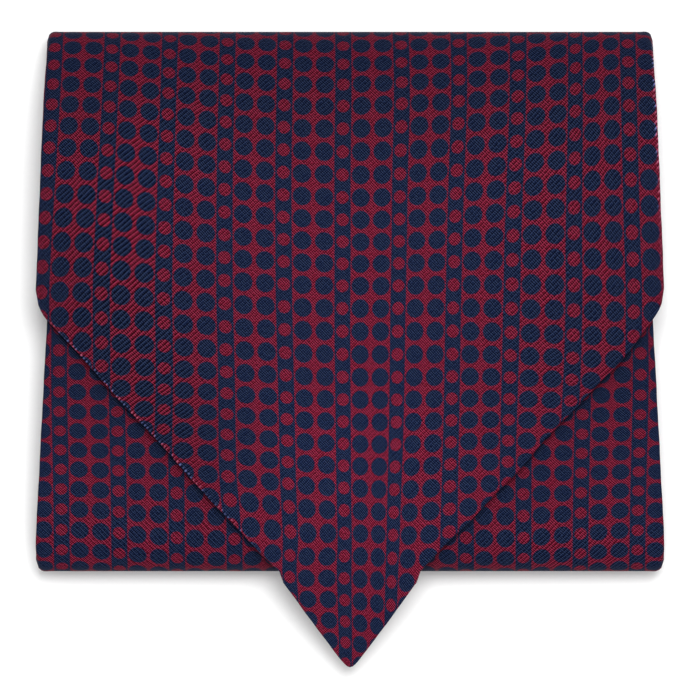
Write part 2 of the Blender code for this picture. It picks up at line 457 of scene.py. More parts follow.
def outward_normals(points: Array) -> Array:
    """Unit normals of a grid of points, away from the folded stack."""
    return unit(np.cross(np.gradient(points, axis=1), np.gradient(points, axis=0)))


def ring_directions(ring: Array) -> Array:
    """Directions along a closed line of points."""
    return np.roll(ring, -1, axis=0) - np.roll(ring, 1, axis=0)


@dataclass(frozen=True)
class ClothShell:
    """Makes a closed shell of doubled silk from its outer face: two lips and the seam between."""

    wall: float = 1.6
    press_depth: float = 0.22
    press_reach: float = 2.6
    wander: float = 0.03
    # The edge's soft waves: the length, start and share of each.
    wander_waves: tuple[tuple[float, float, float], ...] = ((2.7, 0.0, 1.0), (1.1, 1.0, 0.7))
    fullness: float = 0.15
    lip_turns: tuple[int, ...] = (60, 30, 0, -30, -62)
    groove_depth: float = 0.9
    painted_glint_reach: float = 0.4
    ease: float = 4.0

    @property
    def lip(self) -> float:
        """Radius of each ply's rounded lip."""
        return self.wall / 4

    def _rim_line(self) -> Array:
        """The rim's section from the outer to the inner face, as outward place and depth."""
        lip = self.lip
        outer = [
            (lip * (math.cos(math.radians(turn)) - 1), lip * (1 - math.sin(math.radians(turn))))
            for turn in self.lip_turns
        ]
        groove = [(-self.groove_depth * lip, 2 * lip)]
        inner = [(place, self.wall - depth) for place, depth in reversed(outer)]
        return np.array(outer + groove + inner)

    @staticmethod
    def _edge(rows: int, columns: int) -> Edge:
        """Rows and columns of the vertices on the edge, once round against the clock."""
        low = [(0, j) for j in range(columns)]
        right = [(i, columns - 1) for i in range(1, rows)]
        high = [(rows - 1, j) for j in range(columns - 2, -1, -1)]
        left = [(i, 0) for i in range(rows - 2, 0, -1)]
        return tuple(np.array(low + right + high + left).T)

    def build(self, name: str, sheet: ClothSurface) -> bpy.types.Object:
        """The named piece of cloth in metres, its place in its mesh."""
        rows, columns = sheet.outer.shape[:2]
        edge = self._edge(rows, columns)
        normal = unit(sheet.outer - sheet.inner)
        outward, flat_outward = self._outward(sheet, edge, normal)
        edge_run = path_length(sheet.flat[edge])
        waves = sum(
            share * np.sin(edge_run / length + start) for length, start, share in self.wander_waves
        )
        uneven = self.wander * waves + self.fullness
        nearest, distance = self._nearest(sheet.flat, edge)
        draw_in = (self.lip - uneven[nearest]) * smooth(1.0 - distance / self.ease)
        press = self.press_depth * np.square(clamp(1.0 - distance / self.press_reach))
        shift = -outward[nearest] * draw_in[..., None] - normal * press[..., None]
        outer, inner = sheet.outer + shift, sheet.inner + shift
        weave = sheet.weave - flat_outward[nearest] * draw_in[..., None]
        outline = outer[edge] + outward * self.lip
        rings, ring_weave = [], []
        run = 0.0
        previous = (-self.lip, 0.0)
        for step, (place, depth) in enumerate(self._rim_line()):
            rings.append(outline + outward * place - normal[edge] * depth)
            gap = math.hypot(place - previous[0], depth - previous[1])
            run += gap if step <= len(self.lip_turns) else -gap
            previous = (place, depth)
            ring_weave.append(weave[edge] + flat_outward * run)
        points = np.vstack((outer.reshape(-1, 3), inner.reshape(-1, 3), *rings)) * MM
        print_place = np.vstack((weave.reshape(-1, 2), weave.reshape(-1, 2), *ring_weave))
        # Painted glint, fading from the edge inwards over its reach.
        painted_glint = sheet.painted_glint * clamp(1.0 - distance / self.painted_glint_reach)
        values = {"wale": sheet.wale, "painted_shading": sheet.painted_shading, "painted_glint": painted_glint, "cross": sheet.cross}
        for label, value in values.items():
            face = np.broadcast_to(value, (rows, columns))
            values[label] = np.concatenate((*face, *face, *[face[edge]] * len(rings)))
        faces = self._faces(rows, columns, edge, len(rings))
        return self._mesh(name, points, faces, print_place, values)

    @staticmethod
    def _outward(sheet: ClothSurface, edge: Edge, normal: Array) -> tuple[Array, Array]:
        """Directions out of the cloth at its edge, in space and on the print."""
        outward = np.cross(ring_directions(sheet.outer[edge]), normal[edge])
        along = ring_directions(sheet.weave[edge])
        flat_outward = np.stack((along[:, 1], -along[:, 0]), axis=1)
        across, up = sheet.weave[0, -1] - sheet.weave[0, 0], sheet.weave[-1, 0] - sheet.weave[0, 0]
        if across[0] * up[1] - across[1] * up[0] < 0:
            flat_outward = -flat_outward
        return unit(outward), unit(flat_outward)

    @staticmethod
    def _nearest(flat: Array, edge: Edge) -> tuple[Array, Array]:
        """For each vertex, the nearest one on the edge and how far off it is."""
        tree = KDTree(len(edge[0]))
        for index, (x, y) in enumerate(flat[edge]):
            tree.insert((x, y, 0.0), index)
        tree.balance()
        found = [tree.find((x, y, 0.0)) for x, y in flat.reshape(-1, 2)]
        nearest, distance = (
            np.array([hit[part] for hit in found]).reshape(flat.shape[:2]) for part in (1, 2)
        )
        nearest[edge] = np.arange(len(edge[0]))
        return nearest, distance

    @staticmethod
    def _faces(rows: int, columns: int, edge: Edge, rings: int) -> Array:
        """The shell's four-sided faces, all pointing outwards."""
        index = np.arange(rows * columns).reshape(rows, columns)
        a, b = index[:-1, :-1].ravel(), index[:-1, 1:].ravel()
        c, d = index[1:, 1:].ravel(), index[1:, :-1].ravel()
        outer = np.stack((a, b, c, d), 1)
        inner = np.stack((d, c, b, a), 1) + index.size
        outline = index[edge]
        count = len(outline)
        loops = [outline]
        loops += [2 * index.size + step * count + np.arange(count) for step in range(rings)]
        loops += [outline + index.size]
        walls = [
            np.stack((upper, lower, np.roll(lower, -1), np.roll(upper, -1)), 1)
            for upper, lower in zip(loops, loops[1:])
        ]
        return np.vstack((outer, inner, *walls))

    @staticmethod
    def _mesh(
        name: str, points: Array, faces: Array, print_place: Array, values: dict[str, Array]
    ) -> bpy.types.Object:
        """Makes the object, its weave map and its values for the weave, the painted shading and
        the painted glints.
        """
        mesh = bpy.data.meshes.new(name)
        mesh.from_pydata(points.tolist(), [], faces.tolist())
        weave = mesh.uv_layers.new(name="weave")
        corner = np.zeros(len(mesh.loops), np.int32)
        mesh.loops.foreach_get("vertex_index", corner)
        weave.data.foreach_set("uv", print_place[corner].astype(np.float32).ravel())
        for label, value in values.items():
            layer = mesh.attributes.new(label, "FLOAT", "POINT")
            layer.data.foreach_set("value", value.astype(np.float32))
        mesh.shade_smooth()
        piece = bpy.data.objects.new(name, mesh)
        bpy.context.scene.collection.objects.link(piece)
        return piece


class Wiring:
    """Adds shader nodes to a material and joins them up."""

    def __init__(self, material: bpy.types.Material) -> None:
        """Starts on a material with only its own shader."""
        material.use_nodes = True
        self.tree = material.node_tree
        self.shader = self.tree.nodes["Principled BSDF"]

    def feed(self, node: bpy.types.Node, inputs: dict[object, object]) -> None:
        """Feeds a node's inputs, by name or number, from other nodes or with plain values."""
        for name, value in inputs.items():
            if isinstance(value, Socket):
                self.tree.links.new(value, node.inputs[name])
            else:
                node.inputs[name].default_value = value

    def add(self, kind: str, inputs: dict[object, object], **settings: object) -> bpy.types.Node:
        """A new node with its settings made and its inputs fed."""
        node = self.tree.nodes.new("ShaderNode" + kind)
        for name, value in settings.items():
            setattr(node, name, value)
        self.feed(node, inputs)
        return node

    def math(self, operation: str, *values: object) -> Socket:
        """A sum of one kind on up to three values."""
        return self.add("Math", dict(enumerate(values)), operation=operation).outputs[0]

    def times(self, first: object, second: object) -> Socket:
        """Two values multiplied."""
        return self.math("MULTIPLY", first, second)

    def plus(self, value: object, factor: object, base: object) -> Socket:
        """The base and factor times the value."""
        return self.math("MULTIPLY_ADD", value, factor, base)

    def ramp(self, value: object, low: float, high: float) -> Socket:
        """0 up to low, 1 from high and a soft step between; low may be the larger."""
        upward = low < high
        inputs = {
            "Value": value,
            "From Min": min(low, high),
            "From Max": max(low, high),
            "To Min": 0.0 if upward else 1.0,
            "To Max": 1.0 if upward else 0.0,
        }
        return self.add("MapRange", inputs, interpolation_type="SMOOTHSTEP").outputs["Result"]

    def spread(self, value: object, low: float, high: float) -> Socket:
        """A share from 0 to 1 stretched to run from low to high."""
        return self.plus(value, high - low, low)

    def swing(self, turns: object) -> Socket:
        """A wave from -1 to 1 that comes round once a turn."""
        return self.math("SINE", self.times(turns, 2 * math.pi))

    def speckle(self, first: object, second: object) -> Socket:
        """A chance value from -0.5 to 0.5 for every crossing of two sets of threads."""
        floors = {"X": self.math("FLOOR", first), "Y": self.math("FLOOR", second)}
        cell = self.add("CombineXYZ", floors).outputs[0]
        chance = self.add("TexWhiteNoise", {"Vector": cell}, noise_dimensions="2D")
        return self.math("SUBTRACT", chance.outputs["Value"], 0.5)

    def noise(self, scale: float, place: Socket, detail: float = CLOUD_DETAIL) -> Socket:
        """Cloudy noise about 0.5."""
        inputs = {"Vector": place, "Scale": scale, "Detail": detail}
        return self.add("TexNoise", inputs).outputs["Fac"]

    def stray(self, scale: float, place: Socket) -> Socket:
        """Grainy noise about 0."""
        return self.math("SUBTRACT", self.noise(scale, place, GRAIN_DETAIL), 0.5)

    def blend(self, share: object, low: object, high: object) -> Socket:
        """One colour turning into another."""
        inputs = {"Factor": share, "A": low, "B": high}
        return self.add("Mix", inputs, data_type="RGBA").outputs["Result"]

    def scaled(self, colour: object, amount: object) -> Socket:
        """A colour made lighter or darker."""
        start = colour if isinstance(colour, Socket) else colour[:3]
        inputs = {0: start, "Scale": amount}
        return self.add("VectorMath", inputs, operation="SCALE").outputs["Vector"]

    def attribute(self, name: str) -> Socket:
        """A value that the mesh holds at each vertex."""
        return self.add("Attribute", {}, attribute_name=name).outputs["Fac"]

    def weave_place(self) -> tuple[Socket, ...]:
        """The mesh's own weave map: the whole place, across and along."""
        place = self.add("UVMap", {}, uv_map="weave").outputs["UV"]
        parts = self.add("SeparateXYZ", {0: place})
        return place, parts.outputs["X"], parts.outputs["Y"]


@dataclass(frozen=True)
class SilkFinish:
    """Silk twill, striped and spotted, with slanting wales, finer threads and a soft sheen, and
    painted light and shade: shading, edge glints, and highlight and shade on the yarn.
    """

    name: str
    red: Colour = (0.083, 0.0014, 0.0092, 1.0)
    # Lighter and darker reds: painted highlight and painted shade on the yarn, mixed with random
    # tone.
    red_pale_yarn_and_painted_highlight: Colour = (0.226, 0.020, 0.052, 1.0)
    red_dark_yarn_and_painted_shade: Colour = (0.010, 0.0005, 0.0016, 1.0)
    # Colour of the painted glints on red.
    red_painted_glint: Colour = (0.54, 0.14, 0.24, 1.0)
    navy: Colour = (0.0014, 0.0048, 0.0245, 1.0)
    # Lighter and darker navies: painted highlight and painted shade on the yarn, mixed with random
    # tone.
    navy_pale_yarn_and_painted_highlight: Colour = (0.019, 0.031, 0.074, 1.0)
    navy_dark_yarn_and_painted_shade: Colour = (0.0004, 0.0009, 0.004, 1.0)
    # Colour of the painted glints on navy.
    navy_painted_glint: Colour = (0.17, 0.20, 0.47, 1.0)
    stripe_half: float = 2.05
    spot_radius: float = 1.57
    dot_radius: float = 2.31
    dot_offset: float = 4.6
    print_soft: float = 0.16
    print_wander: float = 0.22
    wander_scales: tuple[float, float] = (1.6, 1.9)
    wale_across: float = 1.36
    wale_along: float = 1.30
    wale_waver: float = 0.9
    wale_waver_scale: float = 0.14
    thread: float = 0.69
    thread_waver: float = 0.4
    thread_waver_scale: float = 0.8
    ends_a_wale: float = 2.0
    fine_share: float = 1.25
    end_share: float = 0.9
    speckle_share: float = 1.2
    grain_share: float = 0.1
    grain_scale: float = 3.4
    full_level: float = 1.3
    height_share: float = 0.3
    # Where the painted glints show: on which part of the wale, and where the cloudy noise lets
    # them through.
    painted_glint_wale: tuple[float, float] = (0.30, 0.9)
    painted_glint_cloud: tuple[float, float] = (0.38, 0.62)
    painted_glint_cloud_scale: float = 1.1
    wale_relief: float = 0.10
    relief_strength: float = 0.6
    rough_trough: float = 0.62
    rough_ridge: float = 0.46
    specular: float = 0.02
    sheen: float = 0.02
    sheen_roughness: float = 0.4
    sheen_tint: Colour = (0.75, 0.62, 0.80, 1.0)

    def material(self) -> bpy.types.Material:
        """Makes the silk's material."""
        made = bpy.data.materials.new(self.name)
        wiring = Wiring(made)
        weave = wiring.weave_place()
        navy_share = self._print(wiring, *weave)
        light, deep, height, slant = self._twill(wiring, *weave)
        # Painted highlight and painted shade on the yarn: raised yarn lighter and gaps darker,
        # mixed with random tone from thread to thread.
        red = wiring.blend(deep, wiring.blend(light, self.red, self.red_pale_yarn_and_painted_highlight), self.red_dark_yarn_and_painted_shade)
        navy = wiring.blend(deep, wiring.blend(light, self.navy, self.navy_pale_yarn_and_painted_highlight), self.navy_dark_yarn_and_painted_shade)
        # Painted shading: the print's colour scaled lighter or darker by the mesh's painted
        # shading value.
        colour = wiring.scaled(wiring.blend(navy_share, red, navy), wiring.attribute("painted_shading"))
        # Painted glints: on the wales near the edges, broken up by cloudy noise, the colour is
        # blended toward a bright glint colour.
        wale = wiring.plus(wiring.swing(slant), 0.5, 0.5)
        cloud = wiring.noise(self.painted_glint_cloud_scale, weave[0])
        painted_glint = wiring.times(wiring.attribute("painted_glint"), wiring.ramp(wale, *self.painted_glint_wale))
        painted_glint = wiring.times(painted_glint, wiring.ramp(cloud, *self.painted_glint_cloud))
        shine = wiring.blend(navy_share, self.red_painted_glint, self.navy_painted_glint)
        relief = {
            "Strength": self.relief_strength,
            "Distance": self.wale_relief * MM,
            "Height": height,
        }
        look = {
            "Base Color": wiring.blend(painted_glint, colour, shine),
            "Roughness": wiring.spread(height, self.rough_trough, self.rough_ridge),
            "Metallic": 0.0,
            "Specular IOR Level": self.specular,
            "Sheen Weight": self.sheen,
            "Sheen Roughness": self.sheen_roughness,
            "Sheen Tint": self.sheen_tint,
            "Normal": wiring.add("Bump", relief).outputs["Normal"],
        }
        wiring.feed(wiring.shader, look)
        return made

    def _print(self, wiring: Wiring, place: Socket, across: Socket, along: Socket) -> Socket:
        """How navy the print is: plain stripes, a red spot on each row, navy dots beside."""
        strays = [wiring.stray(scale, place) for scale in self.wander_scales]
        x = wiring.plus(strays[0], self.print_wander, across)
        y = wiring.plus(strays[1], self.print_wander, along)
        off = wiring.math("ABSOLUTE", wiring.math("WRAP", x, STRIPE_PITCH / 2, -STRIPE_PITCH / 2))
        row = wiring.math("WRAP", y, ROW_PITCH / 2, -ROW_PITCH / 2)
        row_square = wiring.times(row, row)

        def within(distance: Socket, reach: float) -> Socket:
            """1 where the distance is under the reach, with a soft edge."""
            return wiring.ramp(distance, reach + self.print_soft, reach - self.print_soft)

        stripe = within(off, self.stripe_half)
        spot = within(wiring.math("SQRT", wiring.plus(off, off, row_square)), self.spot_radius)
        beside = wiring.math("SUBTRACT", off, self.dot_offset)
        dot = within(wiring.math("SQRT", wiring.plus(beside, beside, row_square)), self.dot_radius)
        navy = wiring.math("MAXIMUM", stripe, dot)
        return wiring.times(navy, wiring.math("SUBTRACT", 1.0, spot))

    def _twill(
        self, wiring: Wiring, place: Socket, across: Socket, along: Socket
    ) -> tuple[Socket, ...]:
        """The weave: shares of painted highlight and painted shade on the yarn (raised yarn
        lighter, gaps darker, mixed with random tone), how high the yarn is, and the wales' turns.
        """
        waver = wiring.times(wiring.noise(self.wale_waver_scale, place), self.wale_waver)
        slant = wiring.plus(across, 1 / self.wale_across, waver)
        cross = wiring.plus(along, 1 / self.wale_along, slant)
        slant = wiring.plus(along, -1 / self.wale_along, slant)
        broad = wiring.times(wiring.swing(slant), wiring.attribute("wale"))
        broad = wiring.plus(wiring.swing(cross), wiring.attribute("cross"), broad)
        pick = wiring.times(wiring.noise(self.thread_waver_scale, place), self.thread_waver)
        pick = wiring.plus(along, 1 / self.thread, pick)
        pick = wiring.plus(across, 1 / self.thread, pick)
        end = wiring.times(slant, self.ends_a_wale)
        ridges = wiring.swing(pick)
        height = wiring.plus(ridges, self.fine_share, broad)
        uneven = wiring.times(wiring.speckle(pick, end), 2.0 * self.speckle_share)
        level = wiring.plus(ridges, uneven, height)
        level = wiring.plus(wiring.swing(end), self.end_share, level)
        grain = wiring.stray(self.grain_scale, place)
        level = wiring.plus(grain, 2.0 * self.grain_share, level)
        # Painted highlight where the yarn stands high and painted shade where it lies low, with
        # random tone mixed in.
        light = wiring.ramp(level, 0.0, self.full_level)
        deep = wiring.ramp(level, 0.0, -self.full_level)
        return light, deep, wiring.plus(height, self.height_share, 0.5), slant


@dataclass(frozen=True)
class FloorFinish:
    """Matt white paper sweep."""

    name: str = "paper_floor"
    shade: Colour = (0.86, 0.86, 0.86, 1.0)
    grain: float = 0.015
    grain_scale: float = 900.0
    roughness: float = 0.9
    specular: float = 0.1

    def material(self) -> bpy.types.Material:
        """Makes the paper's material."""
        made = bpy.data.materials.new(self.name)
        wiring = Wiring(made)
        place = wiring.add("TexCoord", {}).outputs["Object"]
        fibre = wiring.noise(self.grain_scale, place, GRAIN_DETAIL)
        amount = wiring.spread(fibre, 1.0 - self.grain, 1.0 + self.grain)
        look = {
            "Base Color": wiring.scaled(self.shade, amount),
            "Roughness": self.roughness,
            "Specular IOR Level": self.specular,
        }
        wiring.feed(wiring.shader, look)
        return made


@dataclass
class ClothPiece:
    """A piece of silk: the form that it follows and the shell that it becomes."""

    form: CravatForm
    shell: ClothShell

    def dress(self, node: str, slot: Slot, surface: ClothSurface) -> bpy.types.Object:
        """Builds the piece that stands for the solid of this node, with its silk."""
        piece = self.shell.build(f"{node}_silk", surface)
        piece.data.materials.append(SilkFinish(f"{node}_twill").material())
        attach(piece, "root")
        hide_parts(node)
        return piece


@dataclass
class FrontBlade(ClothPiece):
    """The wide pointed blade on top, over the top fold and under to its seam."""

    columns: int = 170
    body_rows: int = 118
    fold_rows: int = 34
    lip_rows: int = 14
    seam_rows: int = 7
    profile_fold: int = 300
    profile_body: int = 900
    flat_width: float = 0.1548
    flat_length: float = 0.1975
    flat_area: float = 0.0245
    tight_seam: float = 0.05
    wale_base: float = 0.24
    wale_patches: tuple[Patch, ...] = (
        Patch(-56.0, 8.0, 16.0, 28.0, 1.15),
        Patch(-46.0, -16.0, 9.0, 14.0, 0.9),
        Patch(52.0, 50.0, 26.0, 26.0, 0.7),
        Patch(56.0, -2.0, 20.0, 28.0, 0.6),
        Patch(-20.0, 66.0, 46.0, 9.0, 0.35),
        Patch(-44.0, 52.0, 24.0, 18.0, 0.55),
        Patch(-68.0, 36.0, 14.0, 16.0, 0.5),
        Patch(14.0, -22.0, 17.0, 14.0, 0.3),
    )
    # Painted shading: darker along the top fold and both sides, lighter low in the middle.
    painted_shading_base: float = 1.0
    painted_shading_patches: tuple[Patch, ...] = (
        Patch(0.0, 72.0, 180.0, 26.0, -0.24),
        Patch(-72.0, 4.0, 30.0, 52.0, -0.26),
        Patch(-42.0, -24.0, 16.0, 18.0, -0.16),
        Patch(76.0, 0.0, 36.0, 60.0, -0.16),
        Patch(0.0, -32.0, 28.0, 24.0, 0.09),
    )
    # Painted glints along the left slant of the point and the upper right edge.
    painted_glint_base: float = 0.0
    painted_glint_patches: tuple[Patch, ...] = (
        Patch(-60.0, -4.0, 24.0, 22.0, 0.50),
        Patch(-36.0, -32.0, 16.0, 20.0, 0.50),
        Patch(76.0, 58.0, 12.0, 28.0, 0.75),
    )

    def surface(self) -> ClothSurface:
        """The blade in place, row by row from its point to its seam."""
        form = self.form
        share = crowded(self.columns)
        level_y = form.top_turn_y - form.top_reach_above
        edge_y = form.point_y(share * form.shoulder_half)
        climb = np.linspace(0.0, 1.0, self.body_rows + 1)[:-1, None]
        body_y = edge_y + (level_y - edge_y) * climb
        body_x = share * form.blade_half(body_y)
        body_z = form.body_height(body_y) + form.loft(body_x, body_y)
        body_z = body_z + form.edge_lift(body_x, body_y)
        fold, is_above = self._fold()
        seam_half = float(form.table_half(np.float64(form.top_seam_y)))
        y, z, turned = fold[:, 0:1], fold[:, 1:2], fold[:, 2:3]
        above = is_above[:, None]
        spread = form.fold_spread * (1.0 - np.sqrt(1.0 - turned))
        fold_half = form.top_fold_half + form.fold_spread
        under = seam_half + (fold_half - seam_half) * turned
        half = np.where(above, form.blade_half(y) + spread, under)
        fold_x = share * half
        raised = np.where(above, form.loft(fold_x, np.broadcast_to(y, fold_x.shape)), 0.0)
        pull = form.corner_pull(fold_x, half, form.top_corner) * turned
        fold_y = y - pull
        outer = np.stack(
            (
                np.vstack((body_x, fold_x)),
                np.vstack((body_y, fold_y)),
                np.vstack((body_z, z + raised)),
            ),
            axis=2,
        )
        pulled = np.where(above, 1.0, -1.0) * pull * (1.0 - turned**3)
        run = np.vstack((self._run(body_y), self._fold_run(fold) + pulled))
        x_flat = share * form.shoulder_half + 0.0 * run
        across, along = FRONT_WEAVE.place(x_flat, run)
        return ClothSurface(
            outer=outer,
            inner=outer - outward_normals(outer) * self.shell.wall,
            flat=np.stack((x_flat, -run), axis=2),
            weave=np.stack((across, -along), axis=2),
            wale=patchwork(self.wale_base, self.wale_patches, outer),
            painted_shading=patchwork(self.painted_shading_base, self.painted_shading_patches, outer),
            painted_glint=patchwork(self.painted_glint_base, self.painted_glint_patches, outer),
        )

    def _fold(self) -> tuple[Array, Array]:
        """The top fold's rows of y, z and turn, and which of them lie above the turn."""
        form = self.form
        above = self._above(self.fold_rows)
        turn = (form.top_turn_y, form.top_turn_z)
        below = fold_side(*turn, form.top_reach_below, -form.top_turn_z, self.lip_rows)
        bend_y = form.top_turn_y - form.top_reach_below
        flat = table_rows(bend_y, form.top_seam_y + self.tight_seam, self.seam_rows)[1:]
        rows = np.vstack((above, below[-2::-1], flat))
        return rows, np.arange(len(rows)) < len(above) - 1

    def _above(self, count: int) -> Array:
        """The top fold's rows of y, z and turn down from the blade to its turn."""
        form = self.form
        rise = form.body_top - form.top_turn_z
        return fold_side(form.top_turn_y, form.top_turn_z, form.top_reach_above, rise, count)

    def _run(self, y: Array) -> Array:
        """Distance along the cloth's middle line from the top turn down to y."""
        form = self.form
        fold = self._above(self.profile_fold)[::-1, :2]
        level_y = form.top_turn_y - form.top_reach_above
        body_y = np.linspace(level_y, form.tip_y, self.profile_body)[1:]
        line = np.vstack((fold, np.stack((body_y, form.body_height(body_y)), 1)))
        return np.interp(-y, -line[:, 0], path_length(line))

    def _fold_run(self, fold: Array) -> Array:
        """Distance of each fold row from the turn, negative underneath."""
        length = path_length(fold[:, :2])
        turn = length[self.fold_rows]
        return (turn - length)[:, None]

    def build(self) -> bpy.types.Object:
        """Builds and dresses the blade."""
        piece = self.dress("front_blade", Slot.FRONT, self.surface())
        return piece


@dataclass
class UnderStretch(ClothPiece):
    """The stretch that comes round the bottom fold and shows below the blade."""

    columns: int = 150
    lip_rows: int = 12
    fold_rows: int = 20
    body_rows: int = 70
    seam_rows: int = 5
    flat_width: float = 0.1558
    flat_length: float = 0.139
    tight_seam: float = 0.05
    edge_shade: float = 0.44
    edge_reach: float = 0.8
    wale_base: float = 0.22
    wale_patches: tuple[Patch, ...] = (Patch(54.0, -50.0, 28.0, 9.0, 0.8),)
    cross_base: float = 0.1
    cross_patches: tuple[Patch, ...] = (Patch(-52.0, -47.0, 28.0, 9.0, 0.7),)
    # Painted shading: a little darker overall, darker in a band across the middle and along the
    # bottom fold.
    painted_shading_base: float = 0.93
    painted_shading_patches: tuple[Patch, ...] = (
        Patch(0.0, -2.0, 120.0, 20.0, -0.18),
        Patch(0.0, -57.0, 120.0, 8.0, -0.10),
    )

    def surface(self) -> ClothSurface:
        """The stretch in place, row by row from its seam underneath to its hidden end."""
        form = self.form
        line, turn_row, rise = self._line()
        share = crowded(self.columns)
        y, z, turned = line[:, 0:1], line[:, 1:2], line[:, 2:3]
        seam_half = float(form.table_half(np.float64(form.bottom_seam_y)))
        under = seam_half + (form.under_fold_half - seam_half) * turned
        half = np.where(z > form.bottom_turn_z, form.under_half(y), under)
        x = share * half
        raised = clamp((z - form.bottom_turn_z) / rise)
        loft = form.loft(x, np.broadcast_to(y, x.shape)) * raised
        pull = form.corner_pull(x, half, form.bottom_corner) * turned
        outer = np.stack((x, y + pull, z + loft), axis=2)
        length = path_length(line[:, :2])
        run = (length - length[turn_row])[:, None] + 0.0 * x
        run = run + np.where(z > form.bottom_turn_z, 1.0, -1.0) * pull * (1.0 - turned**3)
        # Painted shadow: darker just beyond the blade's edge, on the upper side of the bottom fold
        # only.
        shade = self.edge_shade * np.exp(-form.beyond_edge(x, outer[..., 1]) / self.edge_reach)
        shade = np.where(z > form.bottom_turn_z, shade, 0.0)
        across, along = UNDER_WEAVE.place(x, run)
        return ClothSurface(
            outer=outer,
            inner=outer - outward_normals(outer) * self.shell.wall,
            flat=np.stack((x, run), axis=2),
            weave=np.stack((across, along), axis=2),
            wale=patchwork(self.wale_base, self.wale_patches, outer),
            painted_shading=patchwork(self.painted_shading_base, self.painted_shading_patches, outer) - shade,
            painted_glint=0.0,
            cross=patchwork(self.cross_base, self.cross_patches, outer),
        )

    def _line(self) -> tuple[Array, int, float]:
        """The rows of y, z and turn, the row of the turn, and the rise above it."""
        form = self.form
        level_y = form.bottom_turn_y + form.bottom_reach_above
        level_z = float(form.core_top(np.float64(level_y))) + form.layer
        rise = level_z - form.bottom_turn_z
        turn = (form.bottom_turn_y, form.bottom_turn_z)
        below = fold_side(*turn, -form.bottom_reach_below, -form.bottom_turn_z, self.lip_rows)
        above = fold_side(*turn, -form.bottom_reach_above, rise, self.fold_rows)
        seam_y = form.bottom_seam_y - self.tight_seam
        bend_y = form.bottom_turn_y + form.bottom_reach_below
        seam = table_rows(seam_y, bend_y, self.seam_rows)[:-1]
        y = np.linspace(level_y, form.under_end_y, self.body_rows + 1)[1:]
        body = np.stack((y, form.core_top(y) + form.layer, 0 * y), 1)
        return np.vstack((seam, below, above[-2::-1], body)), len(seam) + self.lip_rows, rise

    def build(self) -> bpy.types.Object:
        """Builds and dresses the stretch."""
        piece = self.dress("under_blade", Slot.UNDER, self.surface())
        return piece


@dataclass
class TableStretch(ClothPiece):
    """The stretch that lies on the table between the two folds."""

    columns: int = 96
    rows: int = 72
    flat_width: float = 0.1515
    flat_length: float = 0.102

    def surface(self, blade: ClothSurface, under: ClothSurface) -> ClothSurface:
        """The stretch in place, its print carried on from both neighbours.

        Args:
            blade: The blade, whose last row is the seam at the top.
            under: The stretch below the blade, whose first row is the other seam.
        """
        form = self.form
        share = crowded(self.columns)
        y = np.linspace(form.top_seam_y, form.bottom_seam_y, self.rows + 1)[:, None]
        x = share * form.table_half(y)
        outer = np.stack((x, y + 0 * x, 0 * x), axis=2)
        run = form.top_seam_y - y + 0 * x
        top = self._seam_weave(blade, -1, share)
        bottom = self._seam_weave(under, 0, share)
        rows_between = (run[-1, 0] - (bottom[:, 1] - top[:, 1]).mean()) / ROW_PITCH
        bottom = bottom + np.array((0.0, round(rows_between) * ROW_PITCH))
        part = (run / run[-1, 0])[..., None]
        return ClothSurface(
            outer=outer,
            inner=outer + np.array((0.0, 0.0, self.shell.wall)),
            flat=np.stack((x, run), axis=2),
            weave=top * (1 - part) + bottom * part,
        )

    @staticmethod
    def _seam_weave(neighbour: ClothSurface, row: int, share: Array) -> Array:
        """The neighbour's weave along the seam, at this stretch's own columns."""
        line = neighbour.weave[row]
        old = neighbour.outer[row, :, 0]
        old = old / old[-1]
        return np.stack([np.interp(share, old, line[:, k]) for k in range(2)], axis=1)

    def build(self, blade: ClothSurface, under: ClothSurface) -> bpy.types.Object:
        """Builds and dresses the stretch."""
        piece = self.dress("table_stretch", Slot.TABLE, self.surface(blade, under))
        return piece


@dataclass(frozen=True)
class Ply:
    """One hidden layer: its share of the height, and how far each edge lies inside."""

    share: float
    inset_left: float
    inset_right: float


